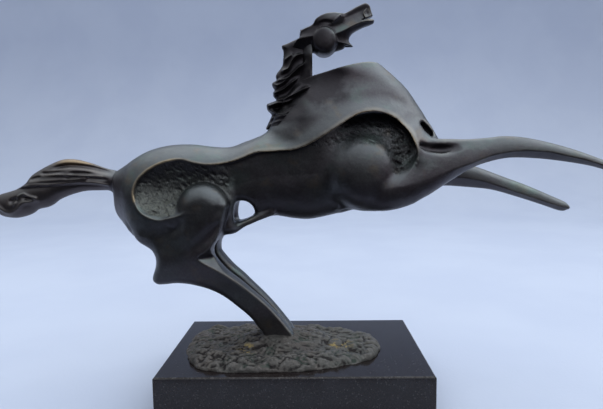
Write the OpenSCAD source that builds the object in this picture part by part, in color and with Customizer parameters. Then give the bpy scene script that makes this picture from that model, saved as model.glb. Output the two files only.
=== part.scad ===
// Bronze statue of a leaping horse on a stone plinth.
// Origin: centre of the plinth's felt underside.
// +X is the way the horse leaps, +Z is up, -Y is its near side.

/* [Plinth] */
// Length of the stone plinth
plinth_length = 250; // [230:5:280]
// Depth of the stone plinth
plinth_depth = 150; // [140:5:180]
// Thickness of the stone plinth
plinth_height = 40; // [36:1:44]
// Width of the ground-off edge all round the stone
plinth_bevel = 1.2; // [0.5:0.1:3]
// Thickness of the felt glued under the stone
felt_thickness = 1.5; // [1:0.5:3]

/* [Ground plate] */
// Thickness of the cast bronze ground under the hooves
plate_height = 10.5; // [9:0.5:14]
// How far the plate's top edge stands in from its foot
plate_batter = 6; // [3:1:8]

/* [Horse] */
// Wall of the hollow castings
wall = 6; // [5:0.5:8]
// Share of each section's width that the casting core takes
core_share = 0.5; // [0.4:0.05:0.6]
// Distance of the sunk flank from the horse's middle plane
flank_half_width = 25; // [23:1:28]
// Distance of each hind hoof from the horse's middle plane
hoof_offset = 7.5; // [7.5:0.5:12]

/* [Fixings] */
// Distance between the two studs under the ground plate
stud_spacing = 100; // [80:5:110]
// Diameter of the studs
stud_diameter = 8; // [6:1:10]
// Depth of the counterbores under the stone
counterbore_depth = 16; // [14:1:18]
// Diameter of the pins that hold the hooves to the plate
hoof_pin_diameter = 5; // [4:0.5:6]

/* [Hidden] */

$fn = 64;
bronze = "#3a4440";
stone = "#17171a";
space = 600;                                  // edge of a cube that stands for half of space
loft_sides = 16;                              // corners of a section through a casting
loft_steps = 2;                               // sections from one station to the next
muscle_facets = 20;
clearance = 0.1;                              // between a thread or pin and its hole

plinth_top = felt_thickness + plinth_height;
ground = plinth_top + plate_height;
felt_inset = 2;
stud_x = -10;                                 // middle of the stud pair
stud_y = -8;
stud_depth = 6;                               // how far a stud goes up into the plate
bolt_hole_diameter = stud_diameter + 2;
counterbore_diameter = 30;
washer_diameter = 22;
fibre_thickness = 1.5;
steel_thickness = 1.6;
nut_width = 13;                               // across flats
nut_height = 6.5;
stud_tail = 2.5;                              // thread that shows past the nut
seat = felt_thickness + counterbore_depth;    // roof of the counterbore
nut_top = seat - fibre_thickness - steel_thickness;
hoof_pin_up = 14;                             // in the hoof
hoof_pin_down = 7;                            // in the plate

// Seams between the castings: a point [x, z] and the seam's slope.
tail_seam = -177;
rump_seam = -30;
chest_seam = 38;
foreleg_seam = 142;
hind_leg_seam = 150;
neck_seam = [-28, 260];
neck_slope = 10.6;
head_seam = [10, 350];
head_slope = -10;

x_axis = 0;                                   // places in a station
z_axis = 2;

// A station is [x, y, z, half height, half width, tilt]: an oval whose height lies along the tilt in the
// XZ plane. Stations of one casting run so that its tilt turned back by 90 degrees points along them.
trunk = [
    [-185, 0, 214.2, 9, 8.5, 90],
    [-177.5, 0, 213.8, 10.8, 10, 90],
    [-174, 0, 205.5, 19.5, 14, 90],
    [-169, 0, 200, 28.5, 20, 90],
    [-158, 0, 196, 39, 29, 90],
    [-142, 0, 196.5, 46.5, 35, 90],
    [-122, 0, 199, 48.5, 37.5, 90],
    [-100, 0, 202, 46, 37, 90],
    [-80, 0, 203, 42.5, 34, 90],
    [-62, 0, 206.5, 38.5, 31, 90],
    [-45, 0, 211, 40, 31, 90],
    [-25, 0, 218, 40.5, 33, 90],
    [0, 0, 219, 44, 34, 90],
    [25, 0, 223, 46, 36, 90],
    [50, 0, 229, 46, 38, 90],
    [75, 0, 234, 46, 39, 90],
    [98, 0, 236, 43, 38, 90],
    [118, 0, 238, 36, 33, 90],
    [132, 0, 239, 26, 24, 90],
    [141, 0, 240, 13, 12, 90]
];
neck_stations = [
    [22, 0, 356, 16, 12, -16],
    [31, 0, 347, 23, 15, -10],
    [36, 0, 338, 27.5, 17, -4],
    [43, 0, 328, 37, 19, 0],
    [49, 0, 315, 47, 22, 0],
    [53, 0, 300, 58.5, 26, 0],
    [55, 0, 285, 69, 31, 0],
    [56, 0, 270, 77.5, 35, 0],
    [56, 0, 255, 84, 37, -1],
    [54, 0, 240, 86, 36, -3]
];
head_stations = [
    [13, 0, 350, 8, 8, 115],
    [23, 0, 352, 14, 11.5, 115],
    [34, 0, 356, 15.5, 12.5, 116],
    [45, 0, 361, 13, 10, 118],
    [55, 0, 366, 10.5, 8, 116],
    [65, 0, 370.5, 10, 7, 114],
    [73, 0, 373, 10, 6.5, 112],
    [78, 0, 374, 6.5, 4, 112]
];
tail_stations = [
    [-306, 0, 192, 4, 3, 90],
    [-300, 0, 191, 9.5, 7, 90],
    [-290, 0, 190.5, 13, 9.5, 90],
    [-277, 0, 193.5, 16, 11, 88],
    [-264, 0, 202, 18.5, 12, 86],
    [-250, 0, 208.5, 20.5, 12.5, 88],
    [-237, 0, 215, 19.5, 12.5, 90],
    [-222, 0, 219, 17.5, 12, 90],
    [-206, 0, 218, 14, 11, 90],
    [-190, 0, 215.5, 11.3, 10, 90],
    [-170, 0, 214, 11, 10, 90]
];
near_foreleg_stations = [
    [52, -24, 213, 20, 9, 90],
    [66, -25, 213, 30, 15, 90],
    [84, -25, 212, 31.5, 17, 90],
    [104, -25, 213, 27.5, 16, 90],
    [124, -25, 219.5, 24.5, 14, 90],
    [142, -24, 227.5, 21, 12.5, 92],
    [160, -23, 233, 15.5, 11, 92],
    [180, -22, 237.8, 11.8, 9.5, 91],
    [200, -21, 241, 10.9, 9, 90],
    [220, -20, 240.5, 9.5, 8.5, 87],
    [240, -20, 238, 8.1, 8, 84],
    [256, -20, 234.5, 7, 7.2, 80],
    [270, -20, 231, 5.8, 6.3, 76],
    [284, -20, 227, 4.7, 5.4, 74],
    [298, -20, 222.5, 4.1, 4.8, 72],
    [309, -20, 219, 3.6, 4.2, 72],
    [313, -20, 217.5, 2, 2.5, 72]
];
far_foreleg_stations = [
    [52, 24, 213, 20, 9, 90],
    [66, 25, 213, 30, 15, 90],
    [84, 25, 213, 30, 17, 90],
    [104, 25, 214, 25, 16, 88],
    [124, 24, 215.5, 20, 14, 84],
    [142, 23, 216, 16, 12.5, 80],
    [160, 22, 215.5, 12.8, 11, 76],
    [178, 21, 213.5, 10.9, 9.5, 72],
    [191, 20, 211, 9.8, 9, 70],
    [204, 20, 207.5, 8.9, 8.5, 68],
    [217, 20, 203.3, 8.2, 8, 68],
    [231, 20, 198.8, 7.6, 7.5, 68],
    [244, 20, 194, 7.1, 7, 68],
    [257, 20, 189.2, 6.5, 6.5, 69],
    [270, 20, 184.3, 5.8, 6, 70],
    [280, 20, 181, 4.8, 5, 71],
    [284, 20, 179.8, 2.6, 3, 72]
];

// Half of the hind legs; the far one mirrors it. hoof_offset sets how near the hooves stand.
function hind_leg_stations(side) = [
    [-114, side * 22, 196, 34, 11, 0],
    [-114, side * 24, 180, 40, 14, 0],
    [-112, side * 22, 164, 38, 15, 0],
    [-111, side * 20, 150, 33, 14, 0],
    [-111, side * 19, 139, 26, 13, 4],
    [-114, side * 18, 124.5, 29, 11.5, 25],
    [-95, side * 16, 120.5, 16, 9.5, 42],
    [-78, side * 14, 113.5, 13, 8.5, 44],
    [-66, side * 12.5, 107, 12, 8, 40],
    [-56, side * 11.5, 99.5, 11.6, 7.5, 35],
    [-47.5, side * 10.5, 92, 11.4, 7.2, 31],
    [-39, side * 9.5, 84, 11.4, 7, 25],
    [-32, side * 8.5, 76, 11.8, 6.8, 18],
    [-25.5, side * 8, 67, 12.6, 6.8, 11],
    [-20, side * hoof_offset, 58, 13.6, 6.9, 3],
    [-18.5, side * hoof_offset, 50, 15, 7.2, 0]
];

// The thigh and shoulder muscles that stand in the sunk flank.
// Each is its centre as [x, distance from the middle, z], its half sizes and its tilt.
thigh = [[-96, 25, 183], [27, 13, 27], 20];
shoulder = [[70, 26, 228], [30, 11, 21], -20];

// Corners of the sunk flank, clockwise from the rump, as [x, z].
flank_outline = [
    [-150, 195], [-151, 204], [-147.5, 214], [-139.5, 222.5], [-129, 229], [-117, 232.8], [-105, 233.8],
    [-94, 231], [-83, 229], [-70, 229], [-58, 231], [-47, 234.5], [-35, 239], [-20, 240], [0, 241],
    [10, 243.5], [21, 248.5], [38, 258.5], [57, 270.5], [66, 274], [77, 275], [88, 272.5], [96, 268.5],
    [102, 263], [108, 256], [112, 248], [115, 240], [116, 230], [110, 214], [98, 202], [60, 190],
    [48, 165], [-30, 160], [-60, 185], [-76, 205], [-108, 190], [-124, 177], [-132, 177.3],
    [-140.5, 181.5], [-146.5, 187.5]
];
flank_reach = 40;                             // how far out the flank's cut goes
flank_hole = [-47, 181];                      // gap between thigh and belly
flank_hole_radius = 9;
core_ends = [-165, 130];                      // the trunk's core stops short of the tail and the breast
chest_hole = [131, -15, 262];
chest_hole_radius = 4;

// Each lock of the mane: root [x, z], tip [x, z], half height and half width at the root.
mane_locks = [
    [[18, 352], [8, 350], 9, 5],
    [[12, 341], [-7, 342], 8, 6],
    [[10, 329], [-10, 326], 8, 6.5],
    [[8, 319], [-15, 315], 8, 7],
    [[6, 308], [-19, 305], 8, 7.5],
    [[4, 298], [-18, 297], 7, 8],
    [[2, 289], [-25, 285], 8, 8.5],
    [[-4, 275], [-20, 271], 8, 8]
];

// Foot of the ground plate, counter-clockwise, as [x, y].
plate_outline = [
    [-108, -28], [-98, -48], [-76, -63], [-45, -66], [0, -65], [40, -57], [68, -42], [84, -18],
    [85, 5], [73, 26], [46, 39], [10, 46], [-40, 49], [-85, 47], [-106, 34], [-112, 5]
];

function spline(a, b, c, d, t) =
    0.5 * (2 * b + (c - a) * t + (2 * a - 5 * b + 4 * c - d) * t * t + (3 * b - a - 3 * c + d) * t * t * t);

// The stations with loft_steps sections from each one to the next.
function smooth_stations(s) = [
    for (i = [0:len(s) - 2], k = [0:loft_steps - 1])
        spline(s[max(i - 1, 0)], s[i], s[i + 1], s[min(i + 2, len(s) - 1)], k / loft_steps),
    s[len(s) - 1]
];

function section(s) = [
    for (k = [0:loft_sides - 1])
        let (turn = 360 * k / loft_sides, up = s[3] * cos(turn))
            [s[0] + up * cos(s[5]), s[1] + s[4] * sin(turn), s[2] + up * sin(s[5])]
];

// The stations of a loft that shape the stretch of it from low to high along an axis.
function stretch(s, axis, low, high) = [
    for (i = [0:len(s) - 1])
        let (a = s[max(i - 2, 0)][axis], b = s[min(i + 2, len(s) - 1)][axis])
            if (max(a, b) >= low && min(a, b) <= high) s[i]
];

function core_of(stations) = [
    for (s = stations) [s[0], s[1], s[2], max(s[3] - wall, 2), max(s[4] * core_share, 1), s[5]]
];

// A solid through all the stations, closed with flat ends.
module loft(stations) {
    rings = [for (s = smooth_stations(stations)) section(s)];
    n = loft_sides;
    last = len(rings) - 1;
    polyhedron(
        points = [for (r = rings, p = r) p],
        faces = concat(
            [for (i = [0:last - 1], k = [0:n - 1]) [i * n + k, i * n + (k + 1) % n, (i + 1) * n + k]],
            [for (i = [1:last], k = [0:n - 1]) [(i - 1) * n + (k + 1) % n, i * n + (k + 1) % n, i * n + k]],
            [[for (k = [n - 1:-1:0]) k], [for (k = [0:n - 1]) last * n + k]]
        )
    );
}

module muscle(shape, side) {
    translate([shape[0][0], side * shape[0][1], shape[0][2]])
        rotate([0, -shape[2], 0])
            scale(shape[1])
                sphere(1, $fn = muscle_facets);
}

// Half of space on the +Z side of a seam through [x, z].
module above(seam, slope) {
    translate([seam[0], 0, seam[1]])
        rotate([0, -slope, 0])
            translate([-space / 2, -space / 2, 0])
                cube(space);
}

// The slab of space between two values of x, above a height.
module between(from_x, to_x, from_z = 0) {
    translate([from_x, -space / 2, from_z])
        cube([to_x - from_x, space, space]);
}

module flank_cut(side) {
    start = side > 0 ? flank_half_width + flank_reach : -flank_half_width;
    translate([0, start, 0])
        rotate([90, 0, 0])
            linear_extrude(flank_reach)
                polygon(flank_outline);
}

// The gap between thigh and belly, or the metal left round it.
module flank_opening(rim = 0) {
    translate([flank_hole[0], 0, flank_hole[1]])
        rotate([90, 0, 0])
            cylinder(r = flank_hole_radius + rim, h = space, center = true);
}

module chest_opening() {
    translate(chest_hole)
        rotate([0, 60, -35])
            cylinder(r = chest_hole_radius, h = 30, center = true);
}

module trunk_core(from_x, to_x) {
    cored = [for (s = trunk) if (s[x_axis] > core_ends[0] && s[x_axis] < core_ends[1]) s];
    difference() {
        loft(core_of(stretch(cored, x_axis, from_x, to_x)));
        flank_opening(wall / 2);
    }
}

module neck_core() {
    loft(core_of(neck_stations));
}

// The trunk from one seam to the next, with its sunk flanks. The children are the parts of the neck in it.
module trunk_form(from_x, to_x) {
    difference() {
        union() {
            loft(stretch(trunk, x_axis, from_x, to_x));
            children();
        }
        flank_cut(-1);
        flank_cut(1);
    }
}

module rump() {
    color(bronze)
        difference() {
            intersection() {
                union() {
                    trunk_form(tail_seam, rump_seam);
                    for (side = [-1, 1]) {
                        muscle(thigh, side);
                        loft(stretch(hind_leg_stations(side), z_axis, hind_leg_seam, space));
                    }
                }
                between(tail_seam, rump_seam, hind_leg_seam);
            }
            trunk_core(tail_seam, rump_seam);
            flank_opening();
        }
}

module barrel() {
    color(bronze)
        difference() {
            intersection() {
                trunk_form(rump_seam, chest_seam)
                    loft(neck_stations);
                between(rump_seam, chest_seam);
            }
            trunk_core(rump_seam, chest_seam);
            neck_core();
            above(neck_seam, neck_slope);
        }
}

module chest() {
    color(bronze)
        difference() {
            intersection() {
                union() {
                    trunk_form(chest_seam, foreleg_seam)
                        loft(neck_stations);
                    for (side = [-1, 1])
                        muscle(shoulder, side);
                    loft(stretch(near_foreleg_stations, x_axis, chest_seam, foreleg_seam));
                    loft(stretch(far_foreleg_stations, x_axis, chest_seam, foreleg_seam));
                }
                between(chest_seam, foreleg_seam);
            }
            trunk_core(chest_seam, foreleg_seam);
            neck_core();
            chest_opening();
            above(neck_seam, neck_slope);
        }
}

module neck() {
    color(bronze)
        difference() {
            intersection() {
                loft(neck_stations);
                above(neck_seam, neck_slope);
            }
            neck_core();
            above(head_seam, head_slope);
        }
}

// The open mouth, as a wedge between the lips.
module mouth() {
    translate([0, space / 2, 0])
        rotate([90, 0, 0])
            linear_extrude(space)
                polygon([[66, 366], [90, 362], [90, 371], [76, 370]]);
}

module head() {
    color(bronze)
        difference() {
            intersection() {
                union() {
                    loft(head_stations);
                    loft(stretch(neck_stations, z_axis, head_seam[1] - 10, space));
                }
                above(head_seam, head_slope);
            }
            mouth();
        }
}

module lock(root, tip, height, width) {
    along = tip - root;
    shoulder = tip - 0.3 * along;
    tilt = atan2(along[1], along[0]) - 90;
    loft([
        [tip[0], 0, tip[1], 1.5, 1.2, tilt],
        [shoulder[0], 0, shoulder[1], height * 0.6, width * 0.6, tilt],
        [root[0], 0, root[1], height, width, tilt]
    ]);
}

module mane() {
    color(bronze)
        difference() {
            union() {
                for (l = mane_locks)
                    lock(l[0], l[1], l[2], l[3]);
            }
            loft(neck_stations);
            loft(head_stations);
        }
}

module tail() {
    color(bronze)
        difference() {
            loft(tail_stations);
            between(tail_seam, space);
        }
}

module foreleg(stations) {
    color(bronze)
        intersection() {
            loft(stretch(stations, x_axis, foreleg_seam, space));
            between(foreleg_seam, space);
        }
}

module near_foreleg() {
    foreleg(near_foreleg_stations);
}

module far_foreleg() {
    foreleg(far_foreleg_stations);
}

module hoof_pin_at(side, gap) {
    translate([hind_leg_stations(side)[15][0], side * hoof_offset, ground - hoof_pin_down - gap])
        cylinder(d = hoof_pin_diameter + 2 * gap, h = hoof_pin_down + hoof_pin_up + 2 * gap);
}

module hind_leg(side) {
    color(bronze)
        difference() {
            intersection() {
                loft(stretch(hind_leg_stations(side), z_axis, 0, hind_leg_seam));
                translate([-space / 2, -space / 2, ground])
                    cube([space, space, hind_leg_seam - ground]);
            }
            hoof_pin_at(side, clearance);
        }
}

module near_hind_leg() {
    hind_leg(-1);
}

module far_hind_leg() {
    hind_leg(1);
}

module hoof_pins() {
    color("silver") {
        hoof_pin_at(-1, 0);
        hoof_pin_at(1, 0);
    }
}

module at_studs() {
    for (side = [-1, 1])
        translate([stud_x + side * stud_spacing / 2, stud_y, 0])
            children();
}

module ground_plate() {
    color(bronze)
        difference() {
            hull() {
                translate([0, 0, plinth_top])
                    linear_extrude(plate_height / 3)
                        polygon(plate_outline);
                translate([0, 0, plinth_top])
                    linear_extrude(plate_height)
                        offset(delta = -plate_batter)
                            polygon(plate_outline);
            }
            at_studs()
                translate([0, 0, plinth_top - 1])
                    cylinder(d = stud_diameter + 2 * clearance, h = stud_depth + 1 + clearance);
            hoof_pin_at(-1, clearance);
            hoof_pin_at(1, clearance);
        }
}

module plinth() {
    color(stone)
        difference() {
            hull() {
                translate([plinth_bevel - plinth_length / 2, plinth_bevel - plinth_depth / 2, felt_thickness])
                    cube([plinth_length - 2 * plinth_bevel, plinth_depth - 2 * plinth_bevel, plinth_height]);
                translate([-plinth_length / 2, -plinth_depth / 2, felt_thickness + plinth_bevel])
                    cube([plinth_length, plinth_depth, plinth_height - 2 * plinth_bevel]);
            }
            at_studs() {
                cylinder(d = bolt_hole_diameter, h = space);
                cylinder(d = counterbore_diameter, h = seat);
            }
        }
}

module felt_base() {
    color("#2b3a2c")
        translate([-plinth_length / 2 + felt_inset, -plinth_depth / 2 + felt_inset, 0])
            cube([plinth_length - 2 * felt_inset, plinth_depth - 2 * felt_inset, felt_thickness]);
}

module mounting_studs() {
    color("silver")
        at_studs()
            translate([0, 0, nut_top - nut_height - stud_tail])
                cylinder(d = stud_diameter, h = plinth_top + stud_depth - nut_top + nut_height + stud_tail);
}

module washer(thickness) {
    difference() {
        cylinder(d = washer_diameter, h = thickness);
        translate([0, 0, -1])
            cylinder(d = stud_diameter + 1, h = thickness + 2);
    }
}

module fibre_washers() {
    color("#7a3b25")
        at_studs()
            translate([0, 0, seat - fibre_thickness])
                washer(fibre_thickness);
}

module steel_washers() {
    color("silver")
        at_studs()
            translate([0, 0, nut_top])
                washer(steel_thickness);
}

module nuts() {
    color("silver")
        at_studs()
            translate([0, 0, nut_top - nut_height])
                difference() {
                    cylinder(d = nut_width / cos(30), h = nut_height, $fn = 6);
                    translate([0, 0, -1])
                        cylinder(d = stud_diameter + 2 * clearance, h = nut_height + 2);
                }
}

plinth();
felt_base();
ground_plate();
mounting_studs();
fibre_washers();
steel_washers();
nuts();
hoof_pins();
near_hind_leg();
far_hind_leg();
rump();
barrel();
chest();
near_foreleg();
far_foreleg();
neck();
head();
mane();
tail();
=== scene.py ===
"""A cast bronze horse leaping off a rough bronze ground, bolted to a plinth of polished black granite.

The bronze is sculpted in fields on grids of points: a field is negative inside the metal, and near the
surface its value is about the distance to it. Sculpting is in millimetres in the CAD's frame. Most forms
are reliefs: a map over the horse's middle plane gives how wide the form is on each side of it.
"""

import math

import bmesh
import bpy
import numpy as np
import openvdb
from mathutils import Matrix, Vector


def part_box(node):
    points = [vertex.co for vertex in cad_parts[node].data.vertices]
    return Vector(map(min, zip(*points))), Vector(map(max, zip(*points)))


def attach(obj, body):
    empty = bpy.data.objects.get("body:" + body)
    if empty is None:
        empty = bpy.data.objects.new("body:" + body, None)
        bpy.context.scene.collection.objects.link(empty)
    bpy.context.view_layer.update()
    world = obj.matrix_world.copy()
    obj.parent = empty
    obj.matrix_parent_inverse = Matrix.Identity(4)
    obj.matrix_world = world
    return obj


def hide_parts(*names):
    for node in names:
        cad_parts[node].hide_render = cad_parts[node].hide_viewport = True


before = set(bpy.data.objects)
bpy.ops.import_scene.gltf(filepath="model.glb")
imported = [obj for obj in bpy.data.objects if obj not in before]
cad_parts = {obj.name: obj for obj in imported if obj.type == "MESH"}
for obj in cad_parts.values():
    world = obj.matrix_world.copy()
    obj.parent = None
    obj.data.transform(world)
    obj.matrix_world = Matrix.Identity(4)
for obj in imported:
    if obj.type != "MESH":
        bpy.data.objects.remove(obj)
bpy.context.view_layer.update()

MM = 0.001
COARSE = 1.0


def node_box(node):
    """A CAD node's lowest and highest corner in millimetres."""
    low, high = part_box(node)
    return np.array(low) / MM, np.array(high) / MM


# ---------------------------------------------------------------- curves over the middle plane


def smooth(points, closed=False, steps=6):
    """A Catmull-Rom curve through the points."""
    p = np.array(points, float)
    if closed:
        p = np.vstack([p[-1], p, p[:2]])
    else:
        p = np.vstack([2 * p[0] - p[1], p, 2 * p[-1] - p[-2]])
    t = np.arange(steps)[:, None] / steps
    parts = [
        0.5 * (2 * b + (c - a) * t + (2 * a - 5 * b + 4 * c - d) * t**2 + (3 * b - a - 3 * c + d) * t**3)
        for a, b, c, d in zip(p, p[1:], p[2:], p[3:])
    ]
    return np.vstack(parts if closed else parts + [p[-2]])


def profile(points, at):
    """The second coordinate of a smooth curve where its first one is `at`."""
    line = smooth(points)
    return np.interp(at, line[:, 0], line[:, 1])


def track(stations, column, at):
    """One column of a list of stations, as a smooth curve over its first column."""
    return profile([(station[0], station[column]) for station in stations], at)


def distance_to_line(points, x, z):
    """Distance from a map's points to an open curve, and how far along it the nearest point is, 0 to 1."""
    line = smooth(points)
    shape = np.broadcast(x, z).shape
    nearest = np.full(shape, 1e9)
    along = np.zeros(shape)
    for i, ((ax, az), (bx, bz)) in enumerate(zip(line, line[1:])):
        dx, dz = bx - ax, bz - az
        t = np.clip(((x - ax) * dx + (z - az) * dz) / (dx * dx + dz * dz), 0, 1)
        away = (x - ax - t * dx) ** 2 + (z - az - t * dz) ** 2
        along = np.where(away < nearest, (i + t) / (len(line) - 1), along)
        nearest = np.minimum(nearest, away)
    return np.sqrt(nearest), along


def distance_to_outline(points, x, z):
    """Distance from a map's points to a closed outline, negative inside it."""
    nearest = np.full(np.broadcast(x, z).shape, 1e9)
    inside = np.zeros(nearest.shape, bool)
    for (ax, az), (bx, bz) in zip(points, np.roll(points, -1, axis=0)):
        dx, dz = bx - ax, bz - az
        t = np.clip(((x - ax) * dx + (z - az) * dz) / (dx * dx + dz * dz + 1e-9), 0, 1)
        nearest = np.minimum(nearest, (x - ax - t * dx) ** 2 + (z - az - t * dz) ** 2)
        inside ^= ((az > z) != (bz > z)) & (x < ax + (z - az) * dx / (dz if dz else 1e-9))
    return np.where(inside, -1, 1) * np.sqrt(nearest)


def distance_to_curve(points, x, z, steps=3):
    """The same for a smooth closed curve through the points."""
    return distance_to_outline(smooth(points, closed=True, steps=steps), x, z)


def bump(distance, width):
    """1 at no distance, falling smoothly to 0 over about the width."""
    return np.exp(-((distance / width) ** 2))


def step(value, start, end):
    """0 before start, 1 after end, smooth between."""
    t = np.clip((value - start) / (end - start), 0, 1)
    return t * t * (3 - 2 * t)


# ---------------------------------------------------------------- fields on a grid


class Grid:
    """A box of points `voxel` apart. x and z lay out maps of the middle plane, and y crosses it."""

    def __init__(self, low, high, voxel):
        self.voxel = voxel * COARSE
        first = np.floor(np.array(low) / self.voxel) - 2
        last = np.ceil(np.array(high) / self.voxel) + 2
        self.origin = first * self.voxel
        xs, ys, zs = (self.voxel * np.arange(a, b + 1) for a, b in zip(first, last))
        self.x, self.z = xs[:, None], zs[None, :]
        self.y = ys[None, :, None]

    def spread(self, plane):
        """A map of the middle plane, laid through the whole grid."""
        plane = np.broadcast_to(np.asarray(plane, float), (self.x.size, self.z.size))
        return plane[:, None, :]

    def relief(self, square, centre=0.0, across=None):
        """A form whose half width squared is a map, which is negative outside its outline."""
        across = self.y if across is None else across
        square = np.broadcast_to(square, (self.x.size, self.z.size))
        slope_x, slope_z = np.gradient(square, self.voxel)
        off = across - self.spread(centre)
        steepness = np.sqrt(4 * off**2 + self.spread(slope_x**2 + slope_z**2) + 1)
        return (off**2 - self.spread(square)) / steepness

    def ellipsoid(self, centre, radii, tilt=0.0, across=None):
        """An ellipsoid whose first radius is turned up from +X by tilt degrees."""
        across = self.y if across is None else across
        c, s = math.cos(math.radians(tilt)), math.sin(math.radians(tilt))
        dx, dz = self.x - centre[0], self.z - centre[2]
        u = self.spread(((dx * c + dz * s) / radii[0]) ** 2 + ((dz * c - dx * s) / radii[2]) ** 2)
        v = self.spread(
            ((dx * c + dz * s) / radii[0] ** 2) ** 2 + ((dz * c - dx * s) / radii[2] ** 2) ** 2
        )
        w = across - centre[1]
        size = np.sqrt(u + (w / radii[1]) ** 2)
        return size * (size - 1) / np.sqrt(v + (w / radii[1] ** 2) ** 2 + 1e-6)

    def rod(self, points, radius, across):
        """A round rod along a curve of the middle plane: across is the distance from its plane."""
        away, along = distance_to_line(points, self.x, self.z)
        size = np.interp(along, np.linspace(0, 1, len(radius)), radius)
        return np.sqrt(self.spread(away) ** 2 + across**2) - self.spread(size)


def join(a, b, round_off):
    """Union of two fields, with a fillet of about that size."""
    t = np.maximum(round_off - np.abs(a - b), 0) / round_off
    return np.minimum(a, b) - t * t * round_off / 4


def cut(a, b, round_off):
    """a without b, with the edge eased."""
    return -join(-a, b, round_off)


def lattice_noise(seed, *at):
    """Smooth noise between -1 and 1 with one swing for each unit of its coordinates."""
    rng = np.random.default_rng(seed)
    size = 32
    table = rng.uniform(-1, 1, (size,) * len(at))
    shape = np.broadcast(*at).shape
    low = [np.floor(a).astype(int) for a in at]
    part = [(a - b) for a, b in zip(at, low)]
    part = [p * p * (3 - 2 * p) for p in part]
    total = np.zeros(shape)
    for corner in range(2 ** len(at)):
        weight = 1.0
        index = []
        for axis, (b, p) in enumerate(zip(low, part)):
            bit = corner >> axis & 1
            weight = weight * (p if bit else 1 - p)
            index.append((b + bit) % size)
        total = total + weight * table[tuple(index)]
    return total


# ---------------------------------------------------------------- the horse's forms

TAIL_SEAM = node_box("tail")[1][0]
RUMP_SEAM = node_box("rump")[1][0]
CHEST_SEAM = node_box("barrel")[1][0]
FORELEG_SEAM = node_box("chest")[1][0]
HIND_LEG_SEAM = node_box("near_hind_leg")[1][2]
GROUND = node_box("near_hind_leg")[0][2]
NECK_SEAM = ((-28, 260), 10.6)  # a point (x, z) of the seam's plane, and its slope in degrees
HEAD_SEAM = ((10, 350), -10)

# x, height of the middle, half height and half width of the trunk
TRUNK = [
    (-180, 193, 6, 4), (-178.5, 194.5, 13.5, 8.5), (-176, 196.5, 20, 13), (-172, 197.5, 26, 17),
    (-167, 197, 31.5, 21.5), (-158, 196, 39, 29), (-142, 196.3, 46.7, 35), (-122, 199, 48.5, 37.5),
    (-100, 202, 46, 37), (-80, 203, 42.5, 34),
    (-62, 206.5, 38.5, 31), (-45, 211, 40, 31), (-25, 218, 40.5, 33), (0, 219, 44, 34),
    (25, 223, 46, 36), (50, 229, 46, 38), (75, 234, 46, 39), (98, 236, 43, 38),
    (118, 238, 36, 33), (132, 239, 26, 24), (141, 240, 13, 12),
]  # fmt: skip
# the same for the body inside the hollowed flank
CORE = [
    (-185, 214, 8, 5), (-165, 205, 22, 12), (-150, 202, 35, 17), (-140, 201, 40, 21), (-122, 201, 44, 24),
    (-100, 203, 44, 25), (-80, 204, 41, 21.5), (-62, 207, 38, 19), (-45, 211, 39.5, 19.5),
    (-25, 216, 39, 21.5),
    (0, 217, 43.5, 24), (13, 217.5, 45, 25), (25, 219.5, 45.5, 25.5), (42, 224, 46.3, 25.5),
    (55, 227, 46.3, 25.5), (75, 231.5, 46, 25.5), (98, 234, 42, 25),
    (118, 236, 34, 22), (132, 238, 24, 15), (141, 240, 11, 6),
]  # fmt: skip
# height, middle in x, half length and half width of the neck
NECK = [
    (232, 53, 84.5, 35), (240, 53.5, 84.5, 36), (255, 55.5, 82.5, 37), (270, 55.5, 76, 35),
    (285, 54.5, 67.5, 31),
    (300, 53, 58.5, 26), (315, 49, 47, 22), (328, 43, 37, 17), (338, 36, 27.5, 12.5), (347, 31, 23, 9.5),
    (356, 24.5, 14.5, 8), (360, 28, 9.5, 5),
]  # fmt: skip
# The flared rim of the back's shell, from behind the rump hollow over the flank to the breast, and the way
# back under the thigh, along the thigh's front edge and below the belly.
RIM = [
    (-150, 195), (-151, 204), (-147.5, 214), (-139.5, 222.5), (-129, 229), (-117, 233), (-105, 234),
    (-94, 231), (-83, 229), (-70, 229), (-58, 231), (-47, 234.5), (-35, 239), (-20, 240), (0, 241),
    (10, 243.5), (21, 248.5), (38, 258.5), (57, 270.5), (66, 274), (77, 275), (88, 272.5), (96, 268.5),
    (102, 263), (108, 256), (112, 248), (115, 240), (116, 231),
]  # fmt: skip
RIM_RETURN = [
    (112, 218), (100, 200), (75, 170), (30, 150), (-40, 150), (-68, 150), (-71, 166), (-71, 178),
    (-80, 182),
    (-100, 182), (-113, 179), (-124, 176.5), (-132, 177.5), (-140.5, 181.5), (-146.5, 187.5),
]  # fmt: skip
FLANK = smooth(RIM + RIM_RETURN, closed=True, steps=4)


def ovals(stations, at, position):
    """Half width squared of a form made of ovals, each across `position` and placed along `at`."""
    middle, half, width = (track(stations, column, at) for column in (1, 2, 3))
    beyond = np.maximum(np.maximum(stations[0][0] - at, at - stations[-1][0]), 0)
    return width**2 * (1 - ((position - middle) / half) ** 2) - 20 * beyond


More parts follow.
